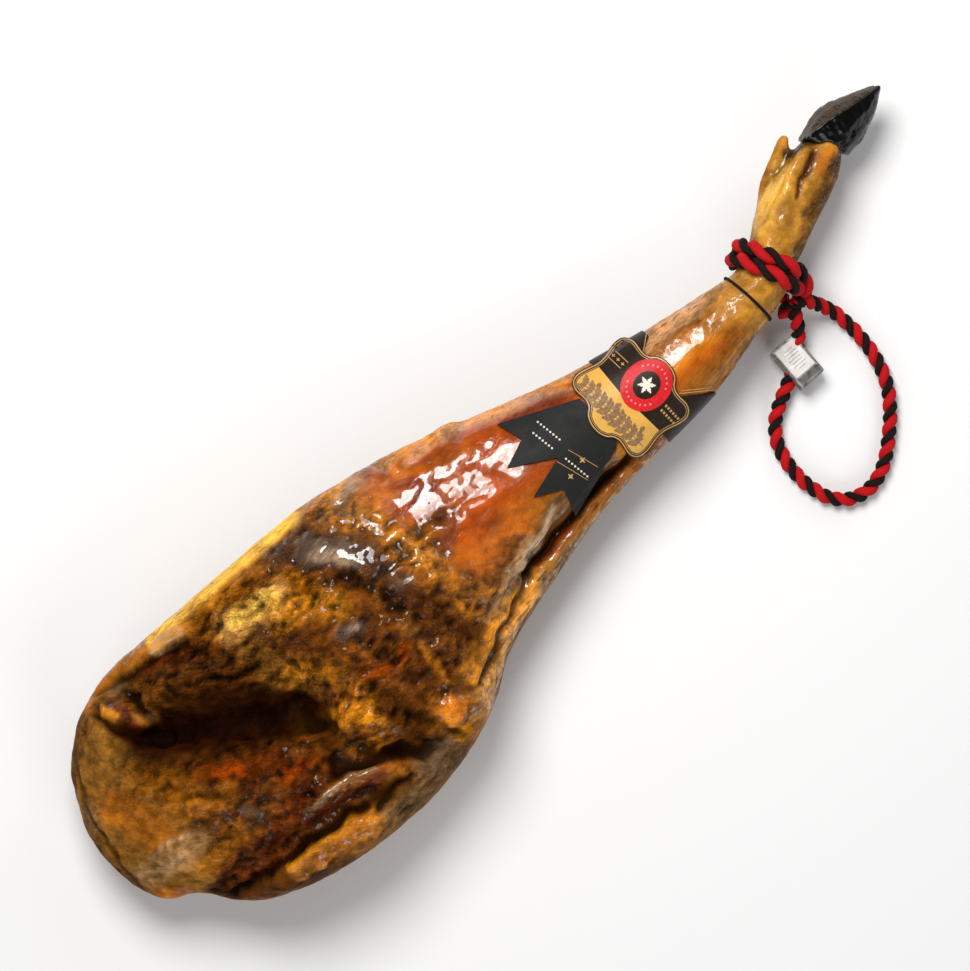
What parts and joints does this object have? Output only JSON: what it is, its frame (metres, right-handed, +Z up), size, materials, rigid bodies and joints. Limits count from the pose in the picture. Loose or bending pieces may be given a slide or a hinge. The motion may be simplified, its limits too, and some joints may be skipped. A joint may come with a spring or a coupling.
{
  "type": "cured ham",
  "caption": "Cured pork shoulder lying rind down and cut face up, with trotter and hooves, a rope tied round the ankle, a seal on the rope, and a paper label and ribbon on the shank.",
  "frame": {"origin": "on the resting surface, under the middle of the box that holds the ham without the loose rope loop and its seal", "axes": "+X along the leg from the butt to the hoof tips, +Y towards the side with the dewclaws, +Z up from the resting surface to the cut face"},
  "size_m": [0.703, 0.2695, 0.1125],
  "materials": {
    "cured_meat": "oily rind, fat and dry crust",
    "horn": "polished horn",
    "rope": "twisted cord",
    "seal_shell": "satin",
    "thread": "matt",
    "dark_paper": "satin",
    "gold_label": "satin"
  },
  "bodies": {
    "root": {"ham": "cured_meat", "hoof_upper": "horn", "hoof_lower": "horn", "rope_tie": "rope", "rope_loop": "rope", "seal": "seal_shell", "ankle_thread": "thread", "paper_band": "dark_paper", "ribbon_tails": "dark_paper", "label": "gold_label"}
  },
  "joints": []
}
